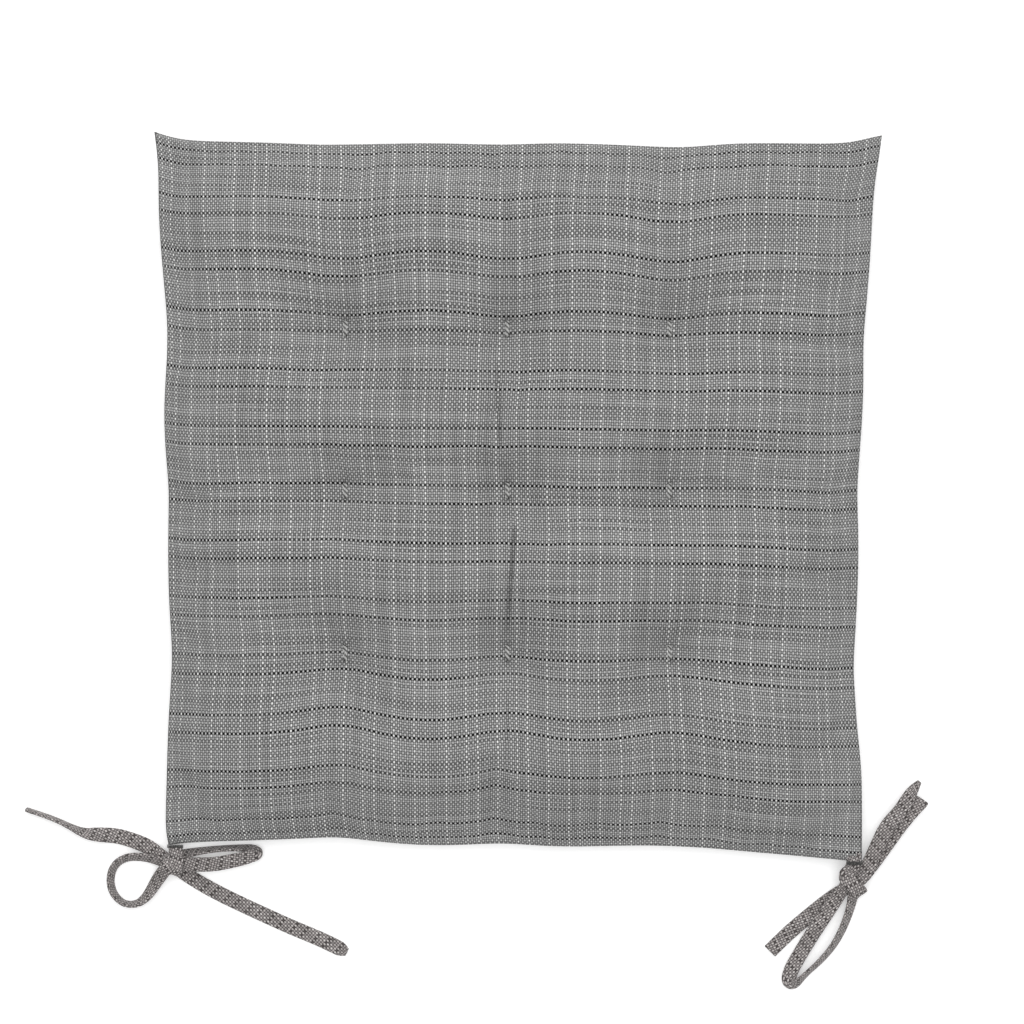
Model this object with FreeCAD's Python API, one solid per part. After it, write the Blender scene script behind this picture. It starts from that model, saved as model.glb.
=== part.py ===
"""Square tufted chair seat pad with two pairs of cloth ties, tied in bows.

Millimetres. +Z is up, the pad's front edge faces -Y and its ties are at the two rear (+Y) corners.
The origin is on the surface the pad lies on, under the middle of the pad.
"""
import FreeCAD, Part
import math
import os

from FreeCAD import Vector

# ---------------------------------------------------------------- driving dimensions
FRONT_WIDTH = 407.0         # corner to corner along the front edge
REAR_WIDTH = 393.0          # corner to corner along the rear edge
PAD_DEPTH = 403.0           # front corners to rear corners
PAD_HEIGHT = 45.0           # floor to the highest part of the filled cushion
SEAM_HEIGHT = 13.0          # floor to the edge seam
SIDE_BOW = 2.5              # how far the middle of each edge is drawn in by the filling
CORNER_EAR = 2.0            # how far each corner stands out past its edges
SCALLOP = 1.8               # extra draw-in of the edges beside each row of tufts
SCALLOP_REACH = 26.0        # half length of one scallop

CLOTH = 1.0                 # cover cloth, as thick as it lies in the pad
SEAM_ALLOWANCE = 9.0        # strip of each panel turned inwards at the edge
FILL_CLEARANCE = 0.3        # between the filling and everything round it
BOTTOM_OVERFILL = 0.8       # how far the underside would sag below the floor, if the floor let it

TUFT_COLUMNS = 3
TUFT_ROWS = 3
TUFT_PITCH_X = 91.5
TUFT_PITCH_Y = 91.5
TUFT_REACH = 19.0           # radius of the hollow round a tuft
TUFT_DEPTH_TOP = 20.0       # depth of the hollow in the top
TUFT_DEPTH_BOTTOM = 6.5     # depth of the hollow in the underside
VALLEY_DEPTH = 3.5          # depth of the shallow valleys from tuft to tuft
VALLEY_REACH = 20.0         # half width of a valley

STITCH_LENGTH = 9.0         # a tuft stitch, across its two legs
STITCH_WIDTH = 3.0          # its strands, side by side
STITCH_THREAD = 0.9         # its strands' thickness
THREAD_CLEARANCE = 0.1      # between a tuft's thread and the cloth it passes through

SEAM_INSET = 3.4            # outer side of the seam thread, in from the edge
SEAM_THREAD_WIDTH = 0.8
SEAM_THREAD_THICKNESS = 0.4
CLOSING_GAP = 150.0         # length of rear edge left open for filling, and closed last
CLOSING_GAP_CENTRE = 20.0   # its middle, along X
THREAD_END_GAP = 1.0        # between the ends of the two seam threads

TAPE_WIDTH = 8.5            # folded and stitched cloth tape of the ties
TAPE_THICKNESS = 2.0
TONGUE_LENGTH = 7.0         # end of each tie that is caught in the seam
TONGUE_THICKNESS = 0.4      # as flat as the seam squeezes it
TONGUE_CLEARANCE = 0.1      # between the tongues and the cloth round them
EDGE_CLEARANCE = 0.3        # between the cushion's edge and the ties' full thickness
ROOT_REACH = 6.0            # how far the ties run out over their knot
BARTACK_WIDTH = 1.2
BARTACK_THICKNESS = 0.6
KNOT_ROUNDING = 2.5

# ---------------------------------------------------------------- derived sizes
CROWN = PAD_HEIGHT - SEAM_HEIGHT - CLOTH            # rise of the top panel above its seam
KEEL = SEAM_HEIGHT - CLOTH + BOTTOM_OVERFILL        # drop of the bottom panel below its seam
KNOT_HEIGHT = SEAM_HEIGHT - TAPE_THICKNESS          # the ties come out of the seam over their knot
TOP_FULLNESS = 7            # power of the cushion's profile: higher is squarer
BOTTOM_FULLNESS = 9
HALF_STATIONS = 26          # points from the middle to an edge in the cushion's surfaces
LARGE = 1000.0

tuft_x = [(i - (TUFT_COLUMNS - 1) / 2) * TUFT_PITCH_X for i in range(TUFT_COLUMNS)]
tuft_y = [(j - (TUFT_ROWS - 1) / 2) * TUFT_PITCH_Y for j in range(TUFT_ROWS)]

os.makedirs("parts", exist_ok=True)


def export(name, shape):
    """Write one node's STEP file and say what it holds."""
    shape.exportStep("parts/%s.step" % name)
    box = shape.BoundBox
    print("%-22s solids %d, volume %9.1f mm3, z %.2f to %.2f, valid %s"
          % (name, len(shape.Solids), shape.Volume, box.ZMin, box.ZMax, shape.isValid()))


def box_between(low, high):
    """A block given by its lowest and highest corners."""
    box = Part.makeBox(high.x - low.x, high.y - low.y, high.z - low.z)
    box.translate(low)
    return box


# ---------------------------------------------------------------- the cushion's outline
def draw_in(along, tufts):
    """How far an edge is drawn in at a place, given as -1 to 1 along it and the tufts beside it."""
    place = along * PAD_DEPTH / 2
    scallops = sum(math.exp(-((place - t) / SCALLOP_REACH) ** 2) for t in tufts)
    return SIDE_BOW * (1 - along ** 2) + CORNER_EAR * (1 - along ** 12) + SCALLOP * scallops


def outline(u, v):
    """The plan place of a point of the cushion, given as -1 to 1 across and along it."""
    half_width = (FRONT_WIDTH * (1 - v) + REAR_WIDTH * (1 + v)) / 4
    x = u * (half_width - draw_in(v, tuft_y))
    y = v * (PAD_DEPTH / 2 - draw_in(u, tuft_x))
    return x, y


# ---------------------------------------------------------------- the cushion's surfaces
def hollow(x, y):
    """1 in the middle of a tuft's hollow, falling to 0 away from it."""
    nearest = min(math.hypot(x - a, y - b) for a in tuft_x for b in tuft_y)
    return math.exp(-(nearest / TUFT_REACH) ** 3)


def valley(x, y):
    """1 along the lines that join the tufts, falling to 0 beside them and out past them."""
    across_columns = max(math.exp(-((x - a) / VALLEY_REACH) ** 2) for a in tuft_x)
    across_rows = max(math.exp(-((y - b) / VALLEY_REACH) ** 2) for b in tuft_y)
    reach_x, reach_y = tuft_x[-1] + TUFT_REACH, tuft_y[-1] + TUFT_REACH
    inside = math.exp(-(x / reach_x) ** 8) * math.exp(-(y / reach_y) ** 8)
    return max(across_columns, across_rows) * inside


def fullness(u, v, power):
    """The share of the full rise at a point: 0 along the seam and nearly 1 over the middle."""
    return (1 - abs(u) ** power) * (1 - abs(v) ** power)


def top_height(u, v):
    """Outside of the top panel."""
    x, y = outline(u, v)
    dip = max(TUFT_DEPTH_TOP * hollow(x, y), VALLEY_DEPTH * valley(x, y))
    return SEAM_HEIGHT + CLOTH + (CROWN - dip) * fullness(u, v, TOP_FULLNESS)


def bottom_height(u, v):
    """Outside of the bottom panel, before the floor flattens it."""
    x, y = outline(u, v)
    dip = TUFT_DEPTH_BOTTOM * hollow(x, y)
    return SEAM_HEIGHT - CLOTH - (KEEL - dip) * fullness(u, v, BOTTOM_FULLNESS)


def stations():
    """Places from -1 to 1, closer together towards the edges, where the profile is steepest."""
    steps = [i / HALF_STATIONS for i in range(-HALF_STATIONS, HALF_STATIONS + 1)]
    return [s * (1.25 - 0.25 * s * s) for s in steps]


def cushion_face(height, shift):
    """A smooth face through a height function, moved up by shift."""
    grid = [[Vector(*outline(u, v), height(u, v) + shift) for v in stations()] for u in stations()]
    surface = Part.BSplineSurface()
    surface.interpolate(grid)
    return surface.toShape()


def solid_to_level(face, level):
    """The solid between a cushion face and the flat plane at a level."""
    walls, flat_edges = [], []
    for edge in face.Edges:
        curve = edge.Curve.toBSpline(*edge.ParameterRange)
        for i, pole in enumerate(curve.getPoles(), start=1):
            curve.setPole(i, Vector(pole.x, pole.y, level))
        flat = curve.toShape()
        flat_edges.append(flat)
        walls.append(Part.makeRuledSurface(edge, flat))
    base = Part.Face(Part.Wire(Part.sortEdges(flat_edges)[0]))
    shell = Part.Shell([face, base] + walls)
    shell.sewShape()
    solid = Part.Solid(shell)
    if solid.Volume < 0:
        solid.reverse()
    return solid


def slab(low, high):
    """All space between two levels."""
    return box_between(Vector(-LARGE, -LARGE, low), Vector(LARGE, LARGE, high))


def edge_ring():
    """Places once round the edge, from the middle of the rear edge."""
    steps = [i / HALF_STATIONS for i in range(2 * HALF_STATIONS)]
    ring = [(1 - s, 1) for s in steps] + [(-1, 1 - s) for s in steps]
    ring += [(s - 1, -1) for s in steps] + [(1, s - 1) for s in steps]
    return ring


def inset_prism(inset, low, high):
    """The solid inside the edge moved in by a distance, between two levels."""
    points = []
    for u, v in edge_ring():
        x, y = outline(u, v)
        half_x, half_y = outline(1, v)[0], outline(u, 1)[1]
        points.append(Vector(x * (1 - inset / half_x), y * (1 - inset / half_y), low))
    return Part.Face(Part.makePolygon(points + points[:1])).extrude(Vector(0, 0, high - low))


# ---------------------------------------------------------------- routes of the ties
# Each corner has two ties that share a knot. The points are x, y, z along the middle of the tape,
# chosen by hand and counted from the corner of the seam, with z from the floor. The first entry of
# a stretch is the direction of the tape's width, or LIES_FLAT. Each stretch starts in the knot.
LIES_FLAT = None
UPRIGHT = Vector(0, 0, 1)
FLAT = TAPE_THICKNESS / 2                       # middle of a tape that lies on the floor
EDGE = TAPE_WIDTH / 2                           # middle of a tape that stands on its edge

left_ties = {
    "side": 1,
    "root": -6.0,
    "knot": [(-12.0, 1.6), (2.0, 12.0)],
    "loop_side": (UPRIGHT, [
        (-3.5, 8.5, EDGE), (6.5, 6, EDGE), (16.5, 4, EDGE), (25.5, 5, EDGE), (31, 11.5, EDGE),
        (31.5, 20.5, EDGE), (26, 28.5, EDGE), (16.5, 30.5, EDGE), (10, 24, EDGE), (5, 16, EDGE),
        (-2.5, 10.5, EDGE)]),
    "loop_rear": (Vector(0, 0.78, -0.62), [
        (-6.5, 3.4, 3.8), (-18.5, 3.9, 4.5), (-33.5, 3.4, 3.8), (-46.5, 3.2, 3.6),
        (-53.5, 3.6, 4.1), (-53.5, 7.3, 8.7), (-46.5, 8.0, 9.6), (-33.5, 8.2, 9.9),
        (-18.5, 7.4, 8.9), (-6.5, 6.3, 7.5)]),
    "tail_side": (LIES_FLAT, [
        (-2.5, 2.5, FLAT), (10.5, -3, FLAT), (28.5, -7.5, FLAT), (48.5, -10.5, FLAT),
        (65.5, -15, FLAT), (78.5, -21.5, FLAT)]),
    "tail_rear": (LIES_FLAT, [
        (-4.5, 10.5, FLAT), (-20.5, 19.5, FLAT), (-44.5, 31, FLAT), (-68.5, 41.5, FLAT),
        (-85.5, 50, FLAT), (-101, 57, FLAT)]),
}
right_ties = {
    "side": -1,
    "root": 5.0,
    "knot": [(-1.0, 6.5), (15.0, 27.0)],
    "loop_side": (Vector(-0.8472, 0.5316, 0), [
        (1.5, 20.5, 3.5), (-5.4, 9.5, 1.7), (-12.9, -2.4, 1.1), (-20.3, -14.2, 1.5),
        (-26.7, -24.4, 1.1), (-30.4, -30.3, 1.7), (-30.4, -30.3, 6.1), (-26.7, -24.4, 6.6),
        (-20.3, -14.2, 5.7), (-12.9, -2.4, 6.2), (-5.4, 9.5, 6.5), (1.5, 20.5, 7.4)]),
    "loop_rear": (UPRIGHT, [
        (6.5, 20.5, EDGE), (10.5, 30.5, EDGE), (20.5, 45.5, EDGE), (31, 60.5, EDGE),
        (38.5, 69, EDGE), (40, 76, EDGE), (33, 74.5, EDGE), (24.5, 65, EDGE), (16, 53.5, EDGE),
        (9.5, 39.5, EDGE), (4.5, 29.5, EDGE), (3, 20.5, EDGE)]),
    "tail_side": (LIES_FLAT, [
        (3.5, 18.5, 9.5), (-5.5, 11.5, 9.4), (-12.5, 0, 8.9), (-18, -12.5, 9.0),
        (-24.5, -24.5, 9.2), (-31, -38.5, 8.4)]),
    "tail_rear": (LIES_FLAT, [
        (11, 21, FLAT), (23.5, 32, FLAT), (38, 44, FLAT), (51.5, 57, FLAT)]),
}
STRETCHES = ["loop_side", "loop_rear", "tail_side", "tail_rear"]


def seam_corner(ties):
    """The corner of the edge that a pair of ties belongs to, on the floor."""
    return Vector(ties["side"] * REAR_WIDTH / 2, PAD_DEPTH / 2, 0)


def rounded_path(name, points):
    """Straight runs joined by tangent arcs, each as large as its two runs allow."""
    edges, radii, here = [], [], points[0]
    for before, corner, after in zip(points, points[1:], points[2:]):
        back, on = before - corner, after - corner
        half_turn = (math.pi - back.getAngle(on)) / 2
        cut = 0.45 * min(back.Length, on.Length)
        radius = cut / math.tan(half_turn)
        radii.append(radius)
        back.normalize()
        on.normalize()
        start, end = corner + back * cut, corner + on * cut
        halfway = corner + (back + on).normalize() * (radius / math.cos(half_turn) - radius)
        edges.append(Part.LineSegment(here, start).toShape())
        edges.append(Part.Arc(start, halfway, end).toShape())
        here = end
    edges.append(Part.LineSegment(here, points[-1]).toShape())
    path = Part.Wire(edges)
    print("%-22s length %.1f, radii %s" % (name, path.Length, " ".join("%.1f" % r for r in radii)))
    return path


def make_tape(name, across, points):
    """A flat tape along a path, its width along one direction or lying flat."""
    path = rounded_path(name, points)
    run = (points[1] - points[0]).normalize()
    width = UPRIGHT.cross(run) if across is LIES_FLAT else Vector(across)
    width = (width - run * width.dot(run)).normalize()
    depth = run.cross(width)
    corners = [points[0] + width * (a * TAPE_WIDTH / 2) + depth * (b * TAPE_THICKNESS / 2)
               for a, b in ((-1, -1), (1, -1), (1, 1), (-1, 1), (-1, -1))]
    sweep = Part.BRepOffsetAPI.MakePipeShell(path)
    sweep.setBiNormalMode(UPRIGHT if across is LIES_FLAT else width)
    sweep.add(Part.makePolygon(corners))
    sweep.build()
    sweep.makeSolid()
    solid = Part.Solid(sweep.shape())
    if solid.Volume < 0:
        solid.reverse()
    share = solid.Volume / (TAPE_WIDTH * TAPE_THICKNESS * path.Length)
    print("%-22s volume over section times length %.3f" % (name, share))
    return solid


def make_knot(low, high):
    """The outer shape of a tied knot: a block with its upright and top edges rounded."""
    block = box_between(low, high)
    rounded = [e for e in block.Edges if e.BoundBox.ZMax > low.z + KNOT_ROUNDING]
    return block.makeFillet(KNOT_ROUNDING, rounded)


def make_root(ties, grow=0.0):
    """Two tapes, one on the other: thin tongues in the seam, full thickness outside it."""
    origin = seam_corner(ties) + Vector(ties["root"], 0, SEAM_HEIGHT)
    half = TAPE_WIDTH / 2 + grow
    end = EDGE_CLEARANCE + BARTACK_WIDTH + ROOT_REACH
    tapes = []
    for up in (1, -1):
        spans = [(-TONGUE_LENGTH - grow, EDGE_CLEARANCE, up * (TONGUE_THICKNESS + grow)),
                 (EDGE_CLEARANCE, end, up * TAPE_THICKNESS)]
        blocks = [box_between(origin + Vector(-half, a, min(0, z)), origin + Vector(half, b, max(0, z)))
                  for a, b, z in spans]
        tapes.append(blocks[0].fuse(blocks[1]).removeSplitter().Solids[0])
    return tapes


def make_bartack(ties):
    """A bar of close stitches over both tapes, just outside the edge, down to the knot's level."""
    start = seam_corner(ties) + Vector(ties["root"], EDGE_CLEARANCE, SEAM_HEIGHT)
    half = TAPE_WIDTH / 2
    outer = box_between(start + Vector(-half - BARTACK_THICKNESS, 0, -TAPE_THICKNESS),
                        start + Vector(half + BARTACK_THICKNESS, BARTACK_WIDTH,
                                       TAPE_THICKNESS + BARTACK_THICKNESS))
    inner = box_between(start + Vector(-half, 0, -TAPE_THICKNESS),
                        start + Vector(half, BARTACK_WIDTH, TAPE_THICKNESS))
    return outer.cut(inner)


# ---------------------------------------------------------------- tuft stitches
def stitch_legs(x, y, grow):
    """The passages of one tuft stitch's two legs through the whole pad."""
    half, far = STITCH_WIDTH / 2 + grow, STITCH_LENGTH / 2 + grow
    near = STITCH_LENGTH / 2 - STITCH_THREAD - grow
    return [box_between(Vector(x - half, y + a, 0), Vector(x + half, y + b, PAD_HEIGHT))
            for a, b in ((-far, -near), (near, far))]


def make_stitch(x, y):
    """One tuft's loop of thread: two legs through the pad and a bar over the cloth on each side."""
    corner = math.hypot(STITCH_LENGTH, STITCH_WIDTH) / 2
    depth = math.exp(-(corner / TUFT_REACH) ** 3)
    top = SEAM_HEIGHT + CLOTH + CROWN - TUFT_DEPTH_TOP * depth + THREAD_CLEARANCE
    low = SEAM_HEIGHT - CLOTH - KEEL + TUFT_DEPTH_BOTTOM * depth - THREAD_CLEARANCE
    half, far = STITCH_WIDTH / 2, STITCH_LENGTH / 2
    near = far - STITCH_THREAD
    outer = box_between(Vector(x - half, y - far, low - STITCH_THREAD),
                        Vector(x + half, y + far, top + STITCH_THREAD))
    return outer.cut(box_between(Vector(x - half, y - near, low), Vector(x + half, y + near, top)))


# ---------------------------------------------------------------- seam threads
def thread_ring(low):
    """A thread once round the seam, from one level up."""
    high = low + SEAM_THREAD_THICKNESS
    inner_edge = inset_prism(SEAM_INSET + SEAM_THREAD_WIDTH, low, high)
    return inset_prism(SEAM_INSET, low, high).cut(inner_edge)


# ---------------------------------------------------------------- covers
past_seam = 2 * CLOTH       # how far cavities run past the seam's level, to cut cleanly
upper_body = solid_to_level(cushion_face(top_height, 0), SEAM_HEIGHT)
upper_cavity = solid_to_level(cushion_face(top_height, -CLOTH), SEAM_HEIGHT - past_seam)
lower_body = solid_to_level(cushion_face(bottom_height, 0), SEAM_HEIGHT).common(slab(0, SEAM_HEIGHT))
lower_cavity = solid_to_level(cushion_face(bottom_height, CLOTH), SEAM_HEIGHT + past_seam)
lower_cavity = lower_cavity.common(slab(CLOTH, SEAM_HEIGHT + past_seam))

leg_passages = [leg for x in tuft_x for y in tuft_y for leg in stitch_legs(x, y, THREAD_CLEARANCE)]
tie_passages = make_root(left_ties, TONGUE_CLEARANCE) + make_root(right_ties, TONGUE_CLEARANCE)
needle_thread = thread_ring(SEAM_HEIGHT + CLOTH)
bobbin_thread = thread_ring(SEAM_HEIGHT - CLOTH - SEAM_THREAD_THICKNESS)

above_allowance = slab(SEAM_HEIGHT + CLOTH, LARGE)
below_allowance = slab(-LARGE, SEAM_HEIGHT - CLOTH)
inside_allowance = inset_prism(SEAM_ALLOWANCE, SEAM_HEIGHT - past_seam, SEAM_HEIGHT + past_seam)

cover_top = upper_body.cut(upper_cavity.common(above_allowance.fuse(inside_allowance)))
cover_top = cover_top.cut(leg_passages + tie_passages + [needle_thread])
export("cover_top", cover_top)
cover_bottom = lower_body.cut(lower_cavity.common(below_allowance.fuse(inside_allowance)))
cover_bottom = cover_bottom.cut(leg_passages + tie_passages + [bobbin_thread])
export("cover_bottom", cover_bottom)

# ---------------------------------------------------------------- filling
under_cloth = CLOTH + FILL_CLEARANCE
fill_top = solid_to_level(cushion_face(top_height, -under_cloth), SEAM_HEIGHT - past_seam)
fill_low = solid_to_level(cushion_face(bottom_height, under_cloth), SEAM_HEIGHT + past_seam)
inset = SEAM_ALLOWANCE + FILL_CLEARANCE
fill_top = fill_top.common(inset_prism(inset, SEAM_HEIGHT, PAD_HEIGHT))
fill_low = fill_low.common(inset_prism(inset, under_cloth, SEAM_HEIGHT))
fill_passages = [leg for x in tuft_x for y in tuft_y for leg in stitch_legs(x, y, FILL_CLEARANCE)]
filling = fill_top.fuse(fill_low).cut(fill_passages)
export("filling", filling)

# ---------------------------------------------------------------- tuft stitches, one node each
column_names = ["right", "centre", "left"]          # as the sitter, who faces -Y, would say
row_names = ["front", "middle", "rear"]
for row, y in zip(row_names, tuft_y):
    for column, x in zip(column_names, tuft_x):
        export("tuft_%s_%s" % (row, column), make_stitch(x, y))


# ---------------------------------------------------------------- seam thread and closing thread
def rear_edge_span(length):
    """The space round the rear edge where the turning gap was closed."""
    middle = Vector(CLOSING_GAP_CENTRE, PAD_DEPTH / 2, 0)
    reach = Vector(length / 2, PAD_DEPTH / 8, 0)
    return box_between(middle - reach, middle + reach + Vector(0, 0, PAD_HEIGHT))


rings = [needle_thread, bobbin_thread]
export("seam_thread", Part.makeCompound([r.cut(rear_edge_span(CLOSING_GAP)) for r in rings]))
closing_span = rear_edge_span(CLOSING_GAP - 2 * THREAD_END_GAP)
export("closing_thread", Part.makeCompound([r.common(closing_span) for r in rings]))

# ---------------------------------------------------------------- ties
for corner_name, ties in (("left", left_ties), ("right", right_ties)):
    corner = seam_corner(ties)
    knot_low, knot_high = ties["knot"]
    knot = make_knot(corner + Vector(*knot_low, 0), corner + Vector(*knot_high, KNOT_HEIGHT))
    export("tie_%s_root" % corner_name, Part.makeCompound(make_root(ties)))
    export("tie_%s_bartack" % corner_name, make_bartack(ties))
    export("tie_%s_knot" % corner_name, knot)
    for stretch in STRETCHES:
        name = "tie_%s_%s" % (corner_name, stretch)
        across, points = ties[stretch]
        export(name, make_tape(name, across, [corner + Vector(*p) for p in points]).cut(knot))
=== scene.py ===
# %% [markdown]
# # A tufted chair pad with bows
# The pad is two square panels of woven cloth, sewn edge to edge, stuffed with loose fibre and
# tied through at nine points. Two pairs of tapes are caught in the rear corners of the seam, and
# each pair is tied in a bow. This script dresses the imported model: it stands in the same frame,
# in metres, with the pad's front edge towards -Y and its bows at the two +Y corners.

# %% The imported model
import math
from functools import partial

import bpy
import numpy as np
from mathutils import Matrix, Vector


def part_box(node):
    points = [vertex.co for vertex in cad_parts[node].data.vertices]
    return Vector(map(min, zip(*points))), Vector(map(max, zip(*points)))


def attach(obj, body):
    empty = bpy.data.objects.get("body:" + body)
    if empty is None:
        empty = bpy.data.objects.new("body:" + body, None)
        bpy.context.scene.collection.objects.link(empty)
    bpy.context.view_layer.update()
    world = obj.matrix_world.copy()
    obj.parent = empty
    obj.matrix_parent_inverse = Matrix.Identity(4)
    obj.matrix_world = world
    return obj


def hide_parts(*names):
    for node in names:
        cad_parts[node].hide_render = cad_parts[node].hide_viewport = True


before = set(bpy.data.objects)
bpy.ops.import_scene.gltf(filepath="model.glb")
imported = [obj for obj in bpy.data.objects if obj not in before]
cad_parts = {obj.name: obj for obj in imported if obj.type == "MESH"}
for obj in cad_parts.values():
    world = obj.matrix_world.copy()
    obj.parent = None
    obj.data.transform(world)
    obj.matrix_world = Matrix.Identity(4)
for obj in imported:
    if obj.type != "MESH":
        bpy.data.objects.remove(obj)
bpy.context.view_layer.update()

BODY = "root"
MM = 0.001

# %% [markdown]
# ## Helpers
# Colours are written as sRGB hex values, as a colour card gives them, and Blender's sockets take
# linear light, so one function turns the one into the other. Node trees are built by one small
# function that adds a node, sets its options and links or fills its inputs. Two more make what
# every piece needs: an object in the scene, and a mesh from points and faces.


# %% Colour and node helpers
def linear(hex_colour):
    """An sRGB hex colour as the linear RGBA that a socket takes."""
    channels = [int(hex_colour[i:i + 2], 16) / 255 for i in (1, 3, 5)]
    bright = [c / 12.92 if c <= 0.04045 else ((c + 0.055) / 1.055) ** 2.4 for c in channels]
    return bright + [1.0]


def add_node(tree, kind, inputs=None, take=0, **settings):
    """Add a node, set its options, fill or link its inputs, and give back one of its outputs."""
    node = tree.nodes.new(kind)
    for name, value in settings.items():
        setattr(node, name, value)
    for socket, value in (inputs or {}).items():
        if isinstance(value, bpy.types.NodeSocket):
            tree.links.new(value, node.inputs[socket])
        else:
            node.inputs[socket].default_value = value
    return node.outputs[take] if len(node.outputs) else node


def put_in_scene(name, data):
    """A new object that shows this mesh, lamp or camera."""
    made = bpy.data.objects.new(name, data)
    bpy.context.scene.collection.objects.link(made)
    return made


def new_object(name, points, faces, uv=None):
    """A mesh object at the origin, with a UV map in metres of cloth where it is given."""
    mesh = bpy.data.meshes.new(name)
    mesh.from_pydata([tuple(p) for p in points], [], faces)
    if uv is not None:
        layer = mesh.uv_layers.new(name="cloth")
        layer.data.foreach_set("uv", np.asarray(uv, np.float32).ravel())
    mesh.shade_smooth()
    return put_in_scene(name, mesh)


# %% [markdown]
# ## Camera
# The pad lies on a table and is seen from straight above, with its front edge at the top of the
# view. A long lens from well above keeps the sides of the pad almost out of sight.

# %% Camera
CAMERA_HEIGHT = 1.9
VIEW_CENTRE = (0.0011, 0.0096)
VIEW_WIDTH = 0.5765
SENSOR_WIDTH = 36.0
SEAM_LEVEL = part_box("cover_bottom")[1].z

camera_data = bpy.data.cameras.new("camera")
camera_data.sensor_width = SENSOR_WIDTH
camera_data.lens = SENSOR_WIDTH * (CAMERA_HEIGHT - SEAM_LEVEL) / VIEW_WIDTH
camera = put_in_scene("camera", camera_data)
camera.location = (*VIEW_CENTRE, CAMERA_HEIGHT)
camera.rotation_euler = (0, 0, math.pi)
bpy.context.scene.camera = camera
bpy.context.scene.view_settings.view_transform = "Standard"
print("lens %.0f mm, %.2f m above the table" % (camera_data.lens, CAMERA_HEIGHT))

# %% [markdown]
# ## The ties
# Each tie is a strip of the cover's own cloth, folded to a flat tape 8.5 mm wide and 2 mm thick and
# stitched down. It could be a curve with a bevel, but a flat tape also needs to say which way its
# width faces as it turns, lies down or stands on its edge. So each tie is a smooth spline through
# a given route, a twin spline that carries the roll and the width, and a mesh swept
# along both.
#
# A route starts in the seam, goes into the knot, round its loop, back through the knot and out
# along its tail. Its points are x, y, z in millimetres from the corner of the seam, then the
# roll of the tape in degrees, 0 where it lies flat and 90 where it stands on its edge, and the
# width as a share of the full width.

# %% Routes of the ties
TAPE_WIDTH = 8.5 * MM
TAPE_THICKNESS = 2.0 * MM
CORNER_X = 0.1965
CORNER_Y = 0.2015

left_rear_loop = [
    (-6, -4, 14.4, 0, .9), (-6, 0, 14.4, 0, .9), (-6, 3.5, 12, 0, .85), (-5, 6, 8, 0, .8),
    (-1.5, 6, 4.6, -20, .8), (-3, 3.6, 3.8, -45, .85), (-7.5, 2, 4.2, -60, .95),
    (-18.5, -0.2, 4.5, -75, 1), (-31, -1.6, 4.5, -80, 1), (-42, -2, 4.5, -75, 1),
    (-49.5, -1.4, 5, -60, 1), (-51.5, 1, 7.4, -42, 1), (-46.5, 3, 9, -28, 1),
    (-37.5, 5, 9, -20, 1), (-27.5, 6.9, 8.6, -14, 1), (-17.5, 7.2, 8.4, -12, 1),
    (-8, 6.4, 8.2, -10, .9), (-2, 5.2, 7, 0, .85), (4, 2, 4, 10, .9), (10.5, -2.4, 1.6, 6, 1),
    (19, -5.8, 1, 0, 1), (28.5, -8.6, 1.1, 6, 1), (38.5, -9.2, 2.4, 30, 1), (46.5, -10, 4, 68, 1),
    (54.5, -14, 4.5, 84, .95), (65, -19, 4.3, 86, .9), (79.5, -23.6, 3.6, 84, .75),
]
left_side_loop = [
    (-6, -4, 12.4, 0, .9), (-6, 0, 12.4, 0, .9), (-6.5, 3.5, 13.2, 0, .95), (-6, 8, 13, 0, .95),
    (-5, 12, 9.5, 0, .95), (-4.5, 12.8, 4.5, 0, .9), (-4, 9.5, 1, 0, .9), (-2.5, 4.5, 1.2, 0, .85),
    (-1, 1.6, 5, 0, .85), (-2, 2.6, 11, 0, .85), (-2.5, 6, 13.4, 0, .9), (0, 9.5, 11.5, 12, .9),
    (4, 14.5, 6.6, 34, 1), (7.5, 20, 4.6, 42, 1), (11, 25.5, 4.2, 56, 1), (16.5, 30, 4.2, 76, 1),
    (24, 30, 4.2, 80, 1), (30, 24.5, 4.2, 74, 1), (32.2, 16.5, 4.2, 72, 1), (30, 8, 4.2, 66, 1),
    (23, 3.2, 4.4, 60, 1), (13.5, 3.0, 4.8, 56, 1), (5.5, 5, 5, 50, .9), (-1, 7.5, 4.4, 30, .8),
    (-5, 9.5, 2.6, 0, .8), (-9.5, 12.6, 1.2, 0, .95), (-20.5, 19.5, 1, 0, 1),
    (-32.5, 25.8, 1, 0, 1), (-44.5, 31.5, 1, 0, 1), (-56.5, 37, 1, 0, 1), (-68.5, 42.5, 1, 0, 1),
    (-85.5, 49.5, 1, 0, 1), (-95, 54, 1, 0, 1), (-99.5, 56.3, 1, 0, .96), (-102, 57.5, 1, 0, .5),
]
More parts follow.
